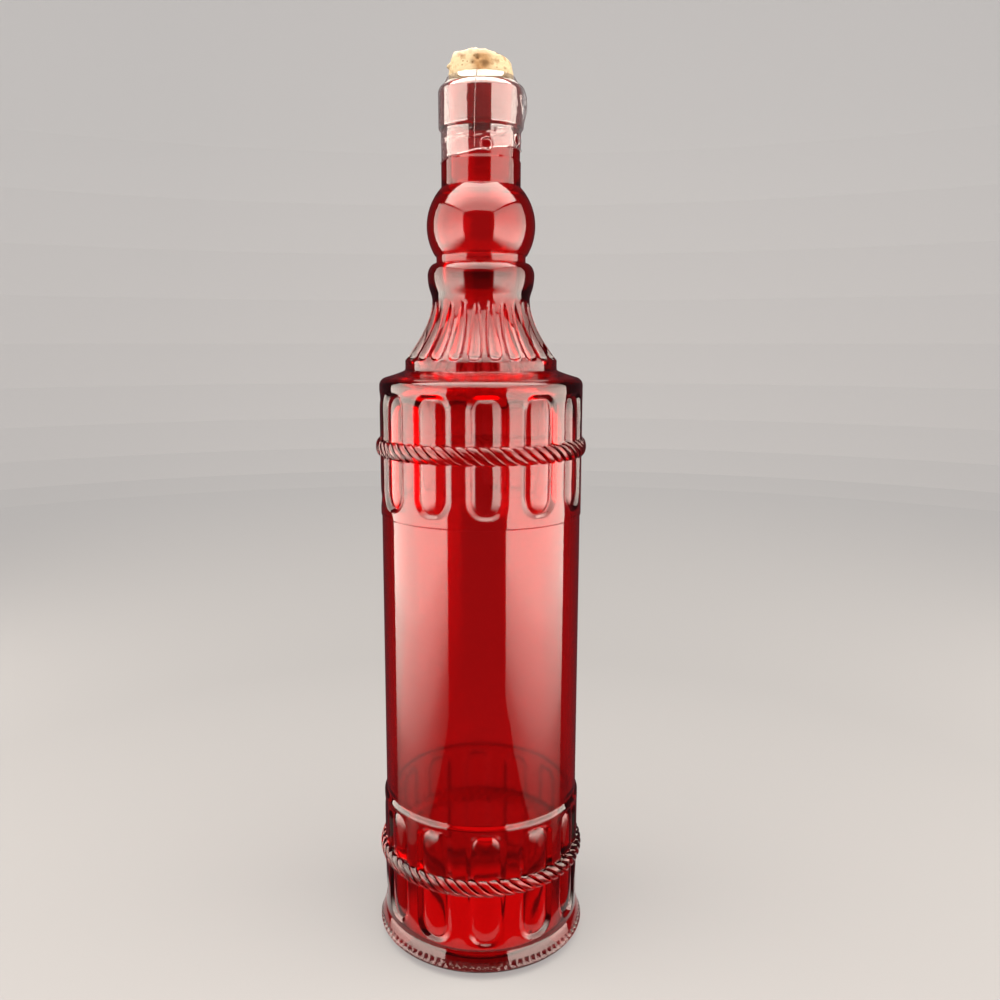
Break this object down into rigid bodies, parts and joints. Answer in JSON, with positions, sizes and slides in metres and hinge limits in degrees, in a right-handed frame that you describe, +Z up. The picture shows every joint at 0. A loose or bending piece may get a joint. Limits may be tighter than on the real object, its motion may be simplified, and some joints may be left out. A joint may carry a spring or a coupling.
{
  "type": "decorative glass bottle",
  "caption": "Empty ruby glass bottle with moulded flutes and rope rings, a ball neck, a natural cork and a clear sealing band",
  "frame": {"origin": "centre of the base, on the surface that the bottle stands on", "axes": "+Z up along the bottle's axis, -Y towards the front, +X to the right seen from the front"},
  "size_m": [0.0758, 0.0758, 0.3104],
  "materials": {
    "ruby_glass": "clear, glossy, deep red pressed glass",
    "natural_cork": "pale natural cork, matt, with brown pores and a torn rim",
    "clear_film": "clear glossy shrunk plastic film, slightly milky"
  },
  "bodies": {
    "root": {"bottle": "ruby_glass", "cork": "natural_cork", "seal_band": "clear_film"}
  },
  "joints": []
}
